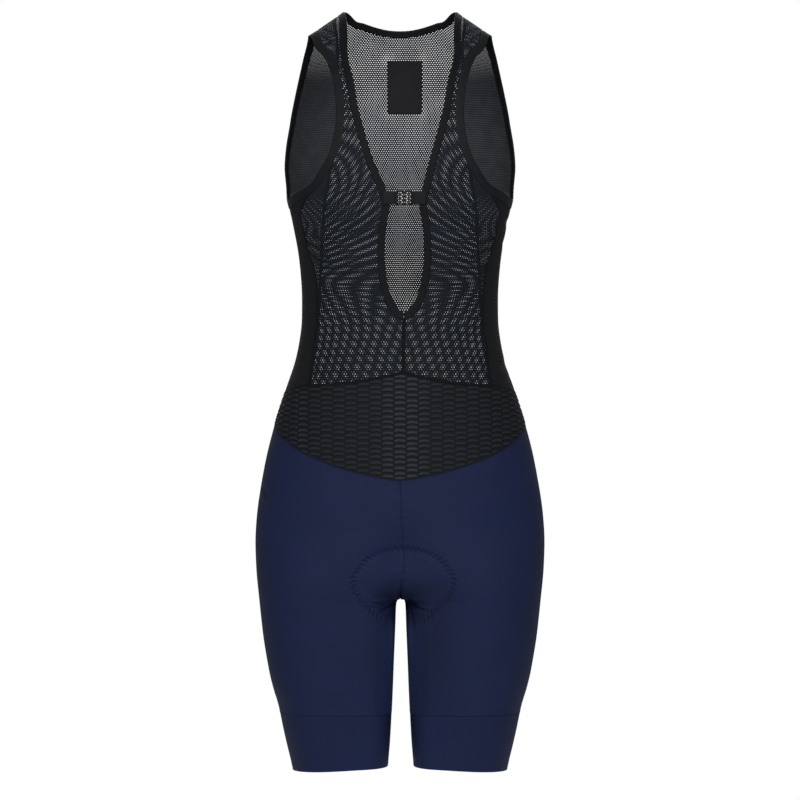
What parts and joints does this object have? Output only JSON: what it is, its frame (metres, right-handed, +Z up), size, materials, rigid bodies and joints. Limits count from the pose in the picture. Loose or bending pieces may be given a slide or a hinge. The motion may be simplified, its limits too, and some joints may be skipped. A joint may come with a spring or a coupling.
{
  "type": "cycling bib shorts",
  "caption": "Sleeveless stretch bib shorts in worn form: navy shorts with grip hems, raised front yoke, net bib with a low neck, keyhole and small front clasp.",
  "frame": {"origin": "middle of the shoulders, at the height at which the straps rest on them", "axes": "+X towards the wearer's left, +Y towards the wearer's back, +Z up"},
  "size_m": [0.3336, 0.2227, 0.8731],
  "materials": {
    "navy_knit": "smooth matte navy stretch knit",
    "gripper": "matte navy elastic with fine upright ribs",
    "scale_cloth": "black knit with rows of small raised scales",
    "black_knit": "dense black knit with fine crosswise ribs",
    "net": "open black mesh knit, seen through",
    "binding": "black folded elastic with a line of stitches",
    "label": "plain black woven label, left bare",
    "clasp": "black moulded plastic"
  },
  "bodies": {
    "root": {"armhole_binding_left": "binding", "armhole_binding_right": "binding", "back_label": "label", "back_neck_binding": "binding", "back_net": "net", "bib_front_left": "net", "bib_front_right": "net", "clasp_left": "clasp", "clasp_right": "clasp", "clasp_tab_left": "binding", "clasp_tab_right": "binding", "front_yoke": "scale_cloth", "gripper_left": "gripper", "gripper_right": "gripper", "neck_binding_left": "binding", "neck_binding_right": "binding", "shorts_left": "navy_knit", "shorts_right": "navy_knit", "side_panel_left": "black_knit", "side_panel_right": "black_knit"}
  },
  "joints": []
}
